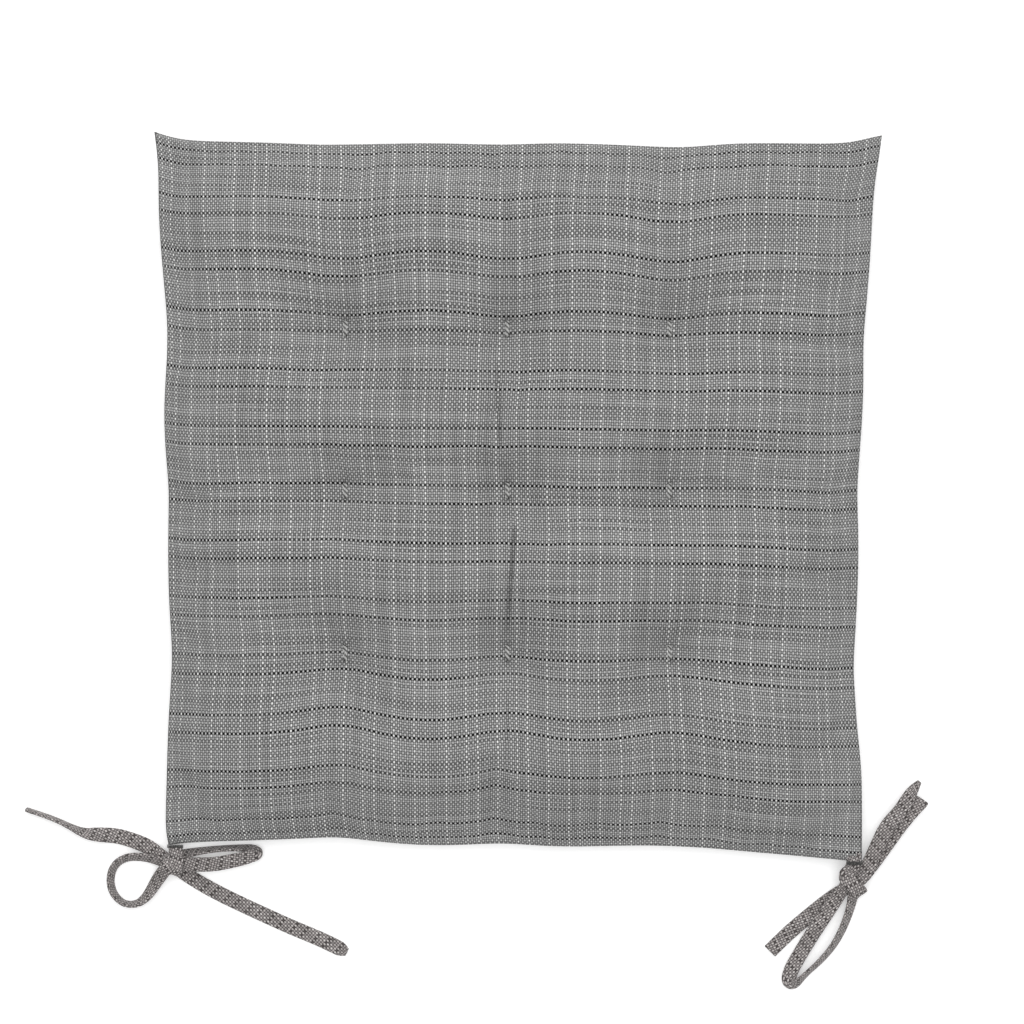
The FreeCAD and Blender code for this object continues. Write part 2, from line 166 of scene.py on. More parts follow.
right_side_loop = [
    (5, 0, 12.4, 0, .95), (5, 5, 12.4, 0, .95), (6.5, 9.5, 12, 0, .9), (10.5, 13, 11.5, 0, .95),
    (7.5, 16.5, 13, 0, 1), (3.5, 20, 12.5, 0, 1), (0.5, 23.5, 9, 0, 1), (0.5, 24, 4.5, 0, .9),
    (4, 21.5, 1.4, 0, .85), (5.5, 18.5, 1.4, 0, .8), (1.5, 16.5, 1.6, 0, .8),
    (-5.4, 8, 1.6, 0, .95), (-12.9, -3.6, 1.1, 0, 1), (-21.5, -14.6, 1.5, 0, 1),
    (-28.6, -23.4, 1.5, 8, 1), (-34, -28.6, 2.4, 14, 1), (-34.2, -28.8, 5.2, 14, 1),
    (-28.6, -23.4, 6.3, 8, 1), (-21.5, -14.6, 5.8, 0, 1), (-13.4, -3.2, 6.2, 0, 1),
    (-5.4, 8, 6.4, 0, .95), (0, 15.5, 6.8, 0, .85), (5, 19, 5.5, 0, .8), (10.5, 22.2, 2.6, 0, .9),
    (16, 26.4, 1.2, 0, 1), (23.5, 32, 1, 0, 1), (38, 44, 1, 0, 1), (45, 50.5, 1, 0, 1),
    (51.5, 57, 1, 0, 1),
]
right_rear_loop = [
    (5, 0, 14.4, 0, .95), (5, 5, 14.2, 0, .95), (6.5, 10, 12, 0, .9), (8.5, 15.5, 9, 0, .8),
    (10, 20, 7.5, 0, .75), (13.2, 25.3, 6, 0, .9), (20, 35, 4.6, 6, 1), (27.5, 46.5, 4, 10, 1),
    (34.5, 58, 3.6, 10, 1), (40, 67.5, 3.6, 14, 1), (41.5, 74, 4, 30, 1), (37.5, 75.8, 4.2, 60, 1),
    (31.5, 69.5, 4.2, 72, 1), (24, 63, 4.2, 66, 1), (16, 54, 4.2, 62, 1), (10, 43, 4.2, 58, 1),
    (6.5, 33, 4.4, 52, .95), (5, 26, 5.4, 35, .85), (4, 20.5, 7.6, 0, .8), (2, 16, 9.4, 0, .9),
    (-3, 8.5, 9.7, -8, 1), (-8, -2.5, 9.4, -14, 1), (-13.5, -14.5, 9.4, -10, 1),
    (-21.5, -23, 9.3, 6, 1), (-26, -30.5, 8.6, 10, .95), (-29.5, -36, 7.6, 6, .7),
    (-32.6, -39.6, 6.8, 8, .3),
]
for route in (left_rear_loop, left_side_loop, right_side_loop, right_rear_loop):
    run = sum(math.dist(a[:3], b[:3]) for a, b in zip(route, route[1:]))
    print("route of %d points, %.0f mm from point to point" % (len(route), run))

# %% [markdown]
# A spline with no bevel turns into plain points when it becomes a mesh, so the twin splines give
# the same number of points: one set of places, and one set of rolls and widths.


# %% Reading a route's spline
SPLINE_ORDER = 3
POINTS_PER_RUN = 12


def spline_points(name, rows):
    """The points of a smooth spline with these control points."""
    curve = bpy.data.curves.new(name, "CURVE")
    curve.dimensions = "3D"
    curve.resolution_u = POINTS_PER_RUN
    spline = curve.splines.new("NURBS")
    spline.points.add(len(rows) - 1)
    for point, row in zip(spline.points, rows):
        point.co = (*row, 1.0)
    spline.order_u = SPLINE_ORDER
    spline.use_endpoint_u = True
    holder = bpy.data.objects.new(name, curve)
    mesh = bpy.data.meshes.new_from_object(holder)
    points = np.array([v.co for v in mesh.vertices], float)
    bpy.data.meshes.remove(mesh)
    bpy.data.curves.remove(curve)
    return points


def unit(vectors):
    """Vectors of length 1."""
    return vectors / np.maximum(np.linalg.norm(vectors, axis=-1, keepdims=True), 1e-12)


def run_lengths(line):
    """How far along a line each of its points lies."""
    return np.concatenate([[0], np.cumsum(np.linalg.norm(np.diff(line, axis=0), axis=1))])


# %% [markdown]
# The width of the tape is turned from its last direction towards the one that its roll asks for, a
# little at each step. So the tape stays smooth where it runs straight up or folds back on itself,
# as a real one does because it can't kink sideways.


# %% Sweeping a tape
TURN_SHARE = 0.3
STEEP = 0.25
SECTION_POINTS = 20
EDGE_ROUNDNESS = 0.45
FACE_ROUNDNESS = 0.6


def width_directions(line, rolls):
    """Which way the tape's width points at each place along its line."""
    along = unit(np.gradient(line, axis=0))
    level = np.cross([0, 0, 1], along)
    widths = []
    for run, side, roll in zip(along, level, rolls):
        before = widths[-1] if widths else None
        wanted = before
        if np.linalg.norm(side) > STEEP or before is None:
            side = unit(side)
            wanted = math.cos(roll) * side + math.sin(roll) * np.cross(run, side)
        if before is not None:
            if wanted @ before < 0:
                wanted = -wanted
            wanted = (1 - TURN_SHARE) * before + TURN_SHARE * wanted
        widths.append(unit(wanted - (wanted @ run) * run))
    return along, np.array(widths)


def tape_section():
    """The tape's rounded section: shares of half its width and thickness, and the way round."""
    turn = np.arange(SECTION_POINTS) / SECTION_POINTS * 2 * math.pi
    across, through = np.cos(turn), np.sin(turn)
    across = np.sign(across) * np.abs(across) ** EDGE_ROUNDNESS
    through = np.sign(through) * np.abs(through) ** FACE_ROUNDNESS
    return across, through


def make_tie(name, side, route):
    """One tie as a swept tape. Gives the object and its middle line."""
    rows = np.array(route, float)
    places = np.array([side * CORNER_X, CORNER_Y, 0]) + rows[:, :3] * MM
    line = spline_points(name, places)
    facts = spline_points(name, np.stack([np.radians(rows[:, 3]), rows[:, 4], 0 * rows[:, 4]], 1))
    along, widths = width_directions(line, facts[:, 0])
    depths = np.cross(along, widths)
    across, through = tape_section()
    half_width = facts[:, 1, None] * TAPE_WIDTH / 2
    rings = (line[:, None]
             + (across * half_width)[..., None] * widths[:, None]
             + (through * TAPE_THICKNESS / 2 * np.ones_like(half_width))[..., None] * depths[:, None])
    count = len(line)
    far = run_lengths(line)
    round_it = run_lengths(np.concatenate([rings[0], rings[0][:1]]))
    faces, uv = [], []
    for i in range(count - 1):
        for k in range(SECTION_POINTS):
            n = (k + 1) % SECTION_POINTS
            faces.append((i * SECTION_POINTS + k, i * SECTION_POINTS + n,
                          (i + 1) * SECTION_POINTS + n, (i + 1) * SECTION_POINTS + k))
            uv += [(round_it[k], far[i]), (round_it[k + 1], far[i]),
                   (round_it[k + 1], far[i + 1]), (round_it[k], far[i + 1])]
    for ring, order in ((0, -1), (count - 1, 1)):
        faces.append(tuple(ring * SECTION_POINTS + k for k in range(SECTION_POINTS))[::order])
        uv += [(round_it[k], far[ring]) for k in range(SECTION_POINTS)][::order]
    made = new_object(name, rings.reshape(-1, 3), faces, uv)
    return made, line


# %% [markdown]
# Each tie is made at its real length: the bows show both ties of each corner from the seam to the
# tail's end, so their lengths are those of the routes.

# %% The four ties
TIES = [
    ("tie_left_1", 1, left_rear_loop, ["tie_left_root", "tie_left_loop_rear", "tie_left_tail_side"]),
    ("tie_left_2", 1, left_side_loop, ["tie_left_knot", "tie_left_loop_side", "tie_left_tail_rear"]),
    ("tie_right_1", -1, right_side_loop,
     ["tie_right_knot", "tie_right_loop_side", "tie_right_tail_rear"]),
    ("tie_right_2", -1, right_rear_loop,
     ["tie_right_root", "tie_right_loop_rear", "tie_right_tail_side"]),
]
tie_objects = []
for name, side, route, nodes in TIES:
    tie, line = make_tie(name, side, route)
    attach(tie, BODY)
    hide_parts(*nodes)
    tie_objects.append(tie)

# %% [markdown]
# ## The cushion's outline
# The knife edge of a stuffed pad isn't a square: the filling draws the middle of each side in, the
# rows of tufts draw it in again beside them, and the corners stand out as small ears. Each edge
# is a few given places, x and y in millimetres, joined and then smoothed.

# %% Edge points
edge_left = [
    (202.5, -204.6), (201.6, -197), (200, -188), (200.2, -155), (197.2, -121), (194.9, -95),
    (195.4, -72), (197.5, -50), (196.6, -30), (194.2, -3), (194.8, 30), (194.4, 60), (192.4, 85),
    (192.6, 98), (194.8, 130), (195.6, 165), (196.4, 187), (196.4, 192), (194.5, 197)]
edge_right = [
    (-207.2, -202.5), (-206.3, -194), (-202.3, -172), (-201, -138), (-198.2, -104), (-196.5, -87),
    (-197, -55), (-193.1, -3), (-194.2, 30), (-193.3, 60), (-190.9, 98), (-192.6, 120),
    (-193, 137), (-195.6, 143), (-196, 165), (-195.9, 206.6)]
edge_front = [
    (-207.2, -202.5), (-200, -202), (-194, -198.2), (-190, -197.6), (-161, -197.9),
    (-127, -198.2), (-93, -195.4), (-60, -197.1), (-26, -198.2), (8, -197.1), (50, -198.3),
    (75, -197.6), (109, -197.1), (143, -198.6), (170, -199), (184, -199.4), (191, -200),
    (196, -202.4), (202.5, -204.6)]
edge_rear = [
    (-195.9, 206.6), (-160, 203.2), (-127, 200.4), (-110, 198.7), (-77, 197.1), (-26, 198.2),
    (8, 195.9), (40, 197.6), (58, 197.1), (75, 195.4), (99, 192.4), (126, 193.8), (156, 194.8),
    (180, 195.3), (194.5, 197)]

CELLS = 112
FINE_SHARE = 0.35
SMOOTH_STEPS = 14
SMOOTH_SHARE = 0.25
print("edges of %s places" % [len(e) for e in (edge_left, edge_right, edge_front, edge_rear)])


def stations():
    """Places from 0 to 1, closer together at the edges and at the three rows of tufts."""
    s = np.linspace(0, 1, CELLS + 1)
    return s - FINE_SHARE * np.sin(8 * math.pi * s) / (8 * math.pi)


def edge_curve(points):
    """An edge's places at the stations, smoothed, with its two ends kept."""
    points = np.array(points, float) * MM
    far = run_lengths(points)
    places = stations()
    line = np.stack([np.interp(places, far / far[-1], points[:, k]) for k in range(2)], axis=1)
    for _ in range(SMOOTH_STEPS):
        line[1:-1] += SMOOTH_SHARE * (line[:-2] - 2 * line[1:-1] + line[2:])
    return line


# %% [markdown]
# The inside of each panel is filled from its four edges by a Coons patch, which is how a draughtsman
# would stretch a net over a wire frame: every thread ends on the edge, and the net follows its
# bows and ears.


# %% Plan of the panels
def panel_plan():
    """The plan places of a panel's grid, row by row from the front edge."""
    s = stations()
    front, rear, right, left = (edge_curve(e) for e in (edge_front, edge_rear, edge_right, edge_left))
    u, v = s[None, :, None], s[:, None, None]
    along = (1 - v) * front[None] + v * rear[None]
    across = (1 - u) * right[:, None] + u * left[:, None]
    corners = ((1 - u) * (1 - v) * front[0] + u * (1 - v) * front[-1]
               + (1 - u) * v * rear[0] + u * v * rear[-1])
    return along + across - corners


plan = panel_plan()
print("outline %.0f x %.0f mm" % tuple((plan.reshape(-1, 2).max(0) - plan.reshape(-1, 2).min(0)) / MM))

# %% [markdown]
# ## Stuffing the cushion
# A pad gets its shape from its filling pressing outwards against cloth that can't stretch, while
# the seam and the tufts hold it back. Modelling that by hand gives a block with dents, so it is
# simulated: the closed cover starts nearly full, the seam and the nine tufts are held, and a
# pressure inside does the rest in twenty frames. The panels' rest shape is a pad with no tufts,
# so the cloth has to give way towards each tuft, and its rows of weave bend as real ones do.

# %% The cover before it is stuffed
PAD_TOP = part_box("cover_top")[1].z
CLOTH_THICKNESS = 0.9 * MM
START_FULLNESS = 6
START_RISE = 0.90
# the nine tufts are drawn a little together, and sit a little off the middle
TUFT_SPREAD = 0.992
TUFT_SHIFT = Vector((3.7, -2.4, 0)) * MM
STITCH_OVER_CLOTH = 1.0 * MM
tuft_nodes = sorted(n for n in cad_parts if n.startswith("tuft_"))
tuft_places = {n: (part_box(n)[0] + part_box(n)[1]) / 2 * TUFT_SPREAD + TUFT_SHIFT for n in tuft_nodes}
TUFT_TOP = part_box(tuft_nodes[0])[1].z - STITCH_OVER_CLOTH
TUFT_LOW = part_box(tuft_nodes[0])[0].z + STITCH_OVER_CLOTH
TUFT_HOLD = 5.2 * MM
TUFT_REACH = 22 * MM


def profile(power):
    """How full the cushion is at each grid place: 0 at the seam, nearly 1 over the middle."""
    s = 2 * stations() - 1
    across = 1 - np.abs(s) ** power
    return across[None, :] * across[:, None]


def away_from(points, x, y):
    """How far points are from a place, in plan."""
    return np.linalg.norm(points[..., :2] - np.array([x, y]), axis=-1)


full = profile(START_FULLNESS)
near_tuft = np.min([away_from(plan, t.x, t.y) for t in tuft_places.values()], axis=0)
dimple = np.exp(-(near_tuft / TUFT_REACH) ** 2)
rise = (PAD_TOP - SEAM_LEVEL) * START_RISE
rest_top = SEAM_LEVEL + rise * full
rest_low = SEAM_LEVEL * (1 - full)
start_top = rest_top + dimple * (TUFT_TOP - rest_top)
start_low = rest_low + dimple * (TUFT_LOW - rest_low)
print("%d tufts, pad %.1f mm high at the start" % (len(tuft_places), start_top.max() / MM))

# %% [markdown]
# The simulation needs one closed body, or the pressure has nothing to push against. So the two
# panels share the points of the seam, and each has its own points inside it.


# %% One closed mesh for both panels
def closed_points(top, low):
    """Points of a closed body: the top's grid, then the inside of the bottom's."""
    return np.concatenate([top.reshape(-1, 3), low[1:-1, 1:-1].reshape(-1, 3)])


def closed_cover(top, low):
    """Points of the closed cover from its heights over the plan."""
    return closed_points(np.dstack([plan, top]), np.dstack([plan, low]))


def closed_index(rows, columns):
    """The point numbers of a closed body's two grids, which share the points of their edge."""
    upper = np.arange(rows * columns).reshape(rows, columns)
    lower = upper.copy()
    lower[1:-1, 1:-1] = rows * columns + np.arange((rows - 2) * (columns - 2)).reshape(rows - 2, -1)
    return upper, lower


def quads(index, upwards):
    """The faces of a grid of point numbers."""
    a, b, c, d = index[:-1, :-1], index[:-1, 1:], index[1:, 1:], index[1:, :-1]
    found = np.stack([a, b, c, d], axis=-1).reshape(-1, 4)
    return (found if upwards else found[:, ::-1]).tolist()


top_index, low_index = closed_index(CELLS + 1, CELLS + 1)
cover = new_object("cushion_cover", closed_cover(start_top, start_low),
                   quads(top_index, True) + quads(low_index, False))
seam_points = np.unique(np.concatenate([top_index[0], top_index[-1], top_index[:, 0], top_index[:, -1]]))
held_top = top_index[near_tuft < TUFT_HOLD]
held_low = low_index[near_tuft < TUFT_HOLD]
held_points = np.concatenate([seam_points, held_top, held_low]).tolist()
cover.vertex_groups.new(name="held").add(held_points, 1.0, "REPLACE")
print("cover of %d points, %d held" % (len(cover.data.vertices), len(held_points)))

# %% [markdown]
# Pressure 4 and no gravity, as a firmly stuffed pad. The cloth is stiff in its plane and soft in
# bending, and a little longer than its rest shape, which is the ease a sewer adds for the filling.

# %% Stuffing it
PRESSURE = 4.0
LAST_FRAME = 20
EASE = -0.02
MOST_MOVE = 14 * MM


def stuff(cushion, rest_points):
    """Run the cloth simulation and leave its result in the mesh."""
    start = np.array([v.co for v in cushion.data.vertices], float)
    cushion.shape_key_add(name="start")
    rest_key = cushion.shape_key_add(name="rest")
    rest_key.data.foreach_set("co", rest_points.astype(np.float32).ravel())
    cloth = cushion.modifiers.new("Cloth", "CLOTH")
    settings = cloth.settings
    settings.quality = 6
    settings.mass = 0.2
    settings.tension_stiffness = 25
    settings.compression_stiffness = 25
    settings.shear_stiffness = 8
    settings.bending_stiffness = 0.4
    settings.use_pressure = True
    settings.uniform_pressure_force = PRESSURE
    settings.effector_weights.gravity = 0
    settings.vertex_group_mass = "held"
    settings.shrink_min = EASE
    settings.rest_shape_key = rest_key
    cloth.point_cache.frame_end = LAST_FRAME
    for step in range(1, LAST_FRAME + 1):
        bpy.context.scene.frame_set(step)
    shown = cushion.evaluated_get(bpy.context.evaluated_depsgraph_get())
    end = np.array([v.co for v in shown.data.vertices], float)
    cushion.modifiers.remove(cloth)
    cushion.shape_key_clear()
    move = end - start
    far = np.linalg.norm(move, axis=1, keepdims=True)
    move *= np.minimum(1, MOST_MOVE / np.maximum(far, 1e-9))
    cushion.data.vertices.foreach_set("co", (start + move).astype(np.float32).ravel())
    bpy.context.scene.frame_set(1)
    print("stuffed: moved %.1f mm at most, %.1f mm on average" % (far.max() / MM, far.mean() / MM))


stuff(cover, closed_cover(rest_top, rest_low))


# %% [markdown]
# ## From the simulation to the cloth
# The net of the simulation is coarse, so each panel is drawn again on a finer one with a smooth
# curve through the old points, and finest along the middle column of tufts, where the cloth has
# folded into sharp creases. The underside is pressed flat by the table.

# %% A finer net
FINE_STEP = 0.5
CREASE_STEP = 0.125
CREASE_ZONE = (-7 * MM, 15 * MM)
SETTLE_STEPS = 2
SETTLE_SHARE = 0.4
FLOOR_SOFTNESS = 0.6 * MM
RIM_RISE = 3.0 * MM
RIM_REACH = 2.2 * MM

co = np.array([v.co for v in cover.data.vertices], float)
coarse_top, coarse_low = co[top_index], co[low_index]


def settle(grid):
    """Even out the smallest folds, which the real filling doesn't let stand."""
    for _ in range(SETTLE_STEPS):
        inner = grid[1:-1, 1:-1]
        around = (grid[:-2, 1:-1] + grid[2:, 1:-1] + grid[1:-1, :-2] + grid[1:-1, 2:]) / 4
        grid[1:-1, 1:-1] = inner + SETTLE_SHARE * (around - inner)
    return grid


def press_flat(z):
    """Heights over the table: what would sink through it lies flat on it."""
    return FLOOR_SOFTNESS * np.logaddexp(0, (z - FLOOR_SOFTNESS) / FLOOR_SOFTNESS)


def lift_rim(grid, side):
    """Keep the rim thick enough for the turned-in allowances between the panels."""
    outline = np.concatenate([plan[0], plan[-1], plan[1:-1, 0], plan[1:-1, -1]])
    inset = np.array([np.linalg.norm(row[:, None] - outline, axis=-1).min(axis=1) for row in plan])
    least = RIM_RISE * (1 - np.exp(-inset / RIM_REACH))
    rise = side * (grid[..., 2] - SEAM_LEVEL)
    grid[..., 2] = SEAM_LEVEL + side * np.maximum(rise, least)
    return grid


def finer(values, places):
    """A smooth curve through rows of values, read at places counted in rows."""
    last = len(values) - 1
    at = np.minimum(np.floor(places).astype(int), last - 1)
    t = (places - at).reshape(-1, *[1] * (values.ndim - 1))
    before, after = np.maximum(at - 1, 0), np.minimum(at + 2, last)
    p0, p1, p2, p3 = values[before], values[at], values[at + 1], values[after]
    return 0.5 * (2 * p1 + (p2 - p0) * t + (2 * p0 - 5 * p1 + 4 * p2 - p3) * t ** 2
                  + (3 * p1 - p0 - 3 * p2 + p3) * t ** 3)


coarse_top = lift_rim(settle(coarse_top), 1)
coarse_low = lift_rim(settle(coarse_low), -1)
column_x = plan[CELLS // 2, :, 0]
rows_fine = np.arange(0, CELLS + FINE_STEP / 2, FINE_STEP)
columns_fine = []
for column in range(CELLS):
    inside = CREASE_ZONE[0] < column_x[column] < CREASE_ZONE[1]
    columns_fine += list(column + np.arange(0, 1, CREASE_STEP if inside else FINE_STEP))
columns_fine = np.array(columns_fine + [CELLS], float)


def fine_panel(grid):
    """A panel's grid on the finer net."""
    return finer(finer(grid, rows_fine).swapaxes(0, 1), columns_fine).swapaxes(0, 1)


top_panel, low_panel = fine_panel(coarse_top), fine_panel(coarse_low)
print("each panel is now %d x %d places" % top_panel.shape[:2])

# %% [markdown]
# Each panel was cut as a flat piece of cloth, so its UV map is that flat piece, in metres: how far a
# thread runs from the middle of the panel, measured over the rest shape. The weave then keeps its
# size on the slopes and closes up where the cloth turns away at the edge.


# %% The flat cut
def flat_places(grid, axis):
    """How far each column or row lies from the middle of the flat panel."""
    steps = np.linalg.norm(np.diff(grid, axis=axis), axis=2)
    middle = slice(CELLS // 4, 3 * CELLS // 4)
    steps = (steps[middle] if axis == 1 else steps[:, middle]).mean(axis=1 - axis)
    far = np.concatenate([[0], np.cumsum(steps)])
    return far - far[CELLS // 2]


rest_grid = np.dstack([plan, rest_top])
cloth_u = finer(flat_places(rest_grid, 1), columns_fine)
cloth_v = finer(flat_places(rest_grid, 0), rows_fine)
cut_size = (cloth_u[-1] - cloth_u[0], cloth_v[-1] - cloth_v[0])
print("panel cut %.0f x %.0f mm inside its seams" % (cut_size[0] / MM, cut_size[1] / MM))

# %% [markdown]
# Each tuft also pulls the cloth towards itself out of the slopes round it, so the yarns outside
# the tufts run in waves, nearest to the pad's middle beside a tuft. The UV map carries this slide.

# %% Cloth drawn in by the tufts
SLIDE_ROWS = 3.9 * MM
SLIDE_COLUMNS = 0.7 * MM
SLIDE_REACH = 27 * MM
BETWEEN_TUFTS = 0.35
# h (1 - h)^2 is 4/27 at most, so this brings the top of its hump to 1
HUMP_TO_ONE = 27 / 4
tuft_columns = sorted({round(t.x, 5) for t in tuft_places.values()})
tuft_rows = sorted({round(t.y, 5) for t in tuft_places.values()})


def slide(out, across, rows, columns, edge):
    """How far the cloth has slid inwards, as a share, outside the outermost rows of tufts."""
    near = sum(np.exp(-((across - c) / SLIDE_REACH) ** 2) for c in columns) - BETWEEN_TUFTS
    high = np.clip((out - rows[-1]) / (edge - rows[-1]), 0, 1)
    low = np.clip((rows[0] - out) / (edge + rows[0]), 0, 1)
    return HUMP_TO_ONE * near * (high * (1 - high) ** 2 - low * (1 - low) ** 2)


def flat_cut(panel):
    """The place of every point of a panel in its flat piece of cloth."""
    x, y = panel[..., 0], panel[..., 1]
    u = cloth_u[None, :] + SLIDE_COLUMNS * slide(x, y, tuft_columns, tuft_rows, x.max())
    v = cloth_v[:, None] + SLIDE_ROWS * slide(y, x, tuft_rows, tuft_columns, y.max())
    return np.dstack([u, v])


# %% [markdown]
# ## Creases and tufts
# Where the cloth has more ease than the filling takes up, it folds between the tufts of the middle
# column. Each crease is a narrow groove along a line, deepest in its middle. At each tuft the
# thread goes down through the cloth at two places, 9 mm apart, and dents it there.

# %% Creases
# x and y of both ends, depth and half width, in millimetres
CREASES = [
    (9.2, -76, 8.0, -22, 2.6, 0.8),
    (-0.6, 16, 1.6, 48, 3.0, 0.9),
    (1.6, 42, 4.0, 80, 2.8, 0.9),
    (4.0, 108, 3.8, 152, 1.3, 1.0),
    (4.0, -162, 3.4, -136, 1.0, 1.6),
]
SOFT_VALLEY = 5.0
SOFT_SHARE = 0.35
HOLE_DEPTH = 3.4 * MM
HOLE_REACH = 1.7 * MM
PINCH_DEPTH = 1.0 * MM
PINCH_REACH = 6 * MM
STITCH_HALF = 4.3 * MM


def along_line(points, start, end):
    """How far plan points are from a line, and where along it they are, from 0 to 1."""
    run = end - start
    t = ((points - start) @ run) / (run @ run)
    nearest = start + np.clip(t, 0, 1)[..., None] * run
    return np.linalg.norm(points - nearest, axis=-1), t


def groove(panel, x0, y0, x1, y1, depth, half_width):
    """Press one crease into a panel."""
    away, t = along_line(panel[..., :2], np.array([x0, y0]) * MM, np.array([x1, y1]) * MM)
    taper = np.sqrt(np.clip(4 * t * (1 - t), 0, 1))
    sharp = np.exp(-(away / (half_width * MM)) ** 2)
    soft = SOFT_SHARE * np.exp(-(away / (SOFT_VALLEY * MM)) ** 2)
    panel[..., 2] -= depth * MM * taper * (sharp + soft)


for crease in CREASES:
    groove(top_panel, *crease)
for place in tuft_places.values():
    for end in (-STITCH_HALF, STITCH_HALF):
        for panel, down in ((top_panel, 1), (low_panel, -1)):
            away = away_from(panel, place.x, place.y + end)
            panel[..., 2] -= down * HOLE_DEPTH * np.exp(-(away / HOLE_REACH) ** 2)
            panel[..., 2] -= down * PINCH_DEPTH * np.exp(-(away / PINCH_REACH) ** 2)
low_panel[1:-1, 1:-1, 2] = press_flat(low_panel[1:-1, 1:-1, 2])
print("cushion z from %.1f to %.1f mm" % (low_panel[..., 2].min() / MM, top_panel[..., 2].max() / MM))

# %% [markdown]
# ## The two panels as sewn cloth
# The panels are sewn face to face, turned, and closed, so at the knife edge each one turns inwards
# and its seam allowance lies flat against the other's, clipped short at the corners. Each panel is
# its own piece: its face, the turned-in allowance, and the cloth's thickness from a Solidify modifier.

# %% Panels with their seam allowance
ALLOWANCE = 9.0 * MM
ALLOWANCE_STEPS = 3
# a tenth of the allowance is left at a corner, and all of it from 20 mm away
CLIP_LEAST = 0.1
CLIP_LENGTH = 22 * MM
LAYER_GAP = 0.03 * MM


def edge_ring(index):
    """The point numbers once round a grid, counter-clockwise from above."""
    return np.concatenate([index[0, :-1], index[:-1, -1], index[-1, :0:-1], index[:0:-1, 0]])


def make_panel(name, panel, upwards):
    """One panel of the cover with its turned-in allowance."""
    rows, columns = panel.shape[:2]
    index = np.arange(rows * columns).reshape(rows, columns)
    flat = flat_cut(panel).reshape(-1, 2)
    points = panel.reshape(-1, 3)
    faces = quads(index, upwards)
    ring = edge_ring(index)
    edge, edge_flat, before = points[ring], flat[ring], ring
    side = 1 if upwards else -1
    points[ring, 2] += side * LAYER_GAP
    points, flat = [points], [flat]
    total = rows * columns
    corners = points[0][[0, columns - 1, (rows - 1) * columns, rows * columns - 1]]
    from_corner = np.linalg.norm(edge[:, None] - corners, axis=-1).min(axis=1)
    clipped = np.minimum(1, CLIP_LEAST + from_corner / CLIP_LENGTH)[:, None]
    for step in range(1, ALLOWANCE_STEPS + 1):
        inset = ALLOWANCE * clipped * step / ALLOWANCE_STEPS
        shrink = 1 - inset / np.abs(edge[:, :2]).max(axis=0)
        inner = np.column_stack([edge[:, :2] * shrink, edge[:, 2] + side * LAYER_GAP])
        points.append(inner)
        flat.append(edge_flat * (1 + inset / np.abs(edge_flat).max(axis=0)))
        now = total + np.arange(len(ring))
        total += len(ring)
        strip = np.stack([np.roll(before, -1), before, now, np.roll(now, -1)], axis=1)
        faces += (strip if upwards else strip[:, ::-1]).tolist()
        before = now
    points, flat = np.concatenate(points), np.concatenate(flat)
    made = new_object(name, points, faces, flat[np.array(faces).ravel()])
    wall = made.modifiers.new("cloth thickness", "SOLIDIFY")
    wall.thickness = CLOTH_THICKNESS
    wall.offset = -1
    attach(made, BODY)
    print("%s has %d faces" % (name, len(faces)))
    return made


bpy.data.objects.remove(cover)
cover_top = make_panel("cover_top_panel", top_panel, True)
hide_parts("cover_top")
cover_bottom = make_panel("cover_bottom_panel", low_panel, False)
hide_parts("cover_bottom")

# %% [markdown]
# ## Filling
# Loose polyester fibre fills the cover up to the seam allowance. It is the coarse net of the
# stuffed cover, drawn in by the cloth's thickness, as one closed and rounded body.

# %% The filling
FILL_GAP = 1.3 * MM
# rows of the net left empty at the edge, where the allowances lie
FILL_INSET = 5
FILL_CLEAR = 3.0 * MM
FILL_HOLE = 7.0 * MM
FILL_CREASE = 1.5


def draw_inside(grid, side):
    """A panel's net moved inside the cover, clear of the cloth, the creases and the tufts."""
    inside = grid.copy()
    for x0, y0, x1, y1, depth, half_width in CREASES if side == 1 else []:
        groove(inside, x0, y0, x1, y1, FILL_CREASE * depth, half_width + FILL_CLEAR / MM)
    for place in tuft_places.values():
        away = away_from(grid, place.x, place.y)
        inside[..., 2] -= side * (HOLE_DEPTH + FILL_GAP) * np.exp(-(away / FILL_HOLE) ** 2)
    inside = inside[FILL_INSET:-FILL_INSET, FILL_INSET:-FILL_INSET]
    inside[..., 2] -= side * (CLOTH_THICKNESS + FILL_GAP)
    inside[[0, -1], :, 2] = SEAM_LEVEL
    inside[:, [0, -1], 2] = SEAM_LEVEL
    return inside


coarse_low[..., 2] = press_flat(coarse_low[..., 2])
fill_top, fill_low = draw_inside(coarse_top, 1), draw_inside(coarse_low, -1)
fill_points = closed_points(fill_top, fill_low)
upper, lower = closed_index(*fill_top.shape[:2])
filling = new_object("filling_fibre", fill_points, quads(upper, True) + quads(lower, False))
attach(filling, BODY)
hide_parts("filling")
print("filling of %d points" % len(fill_points))

# %% [markdown]
# ## Materials
# The cover is a plain weave of dyed acrylic yarn: light warp yarns run from front to rear, darker
# weft yarns run across, and each passes over and under the next. Here and there a yarn is white
# or nearly black, in a repeat that the weaver sets up. Drawing it with an image would fix its
# resolution, so the material works each yarn out from the cloth's own UV map in metres:
# a yarn is 1.24 mm wide across and 1.45 mm along, the number of the yarn gives its colour, and the
# sum of the two numbers, odd or even, says which one lies on top.

# %% Plain weave
WARP_PITCH = 1.24 * MM
WEFT_PITCH = 1.45 * MM
DRIFT_LENGTH = 90 * MM
YARNS_APART = 7.31
WARP_SEED = 0.0
WEFT_SEED = 40.0
WANDER = 0.9 * MM
WANDER_SCALE = 90.0
BROAD_NOISE_SCALE = 14.0


def new_material(name):
    """A material with an empty node tree, and a shorthand that adds nodes to it."""
    material = bpy.data.materials.new(name)
    material.use_nodes = True
    material.node_tree.nodes.clear()
    return material, partial(add_node, material.node_tree)


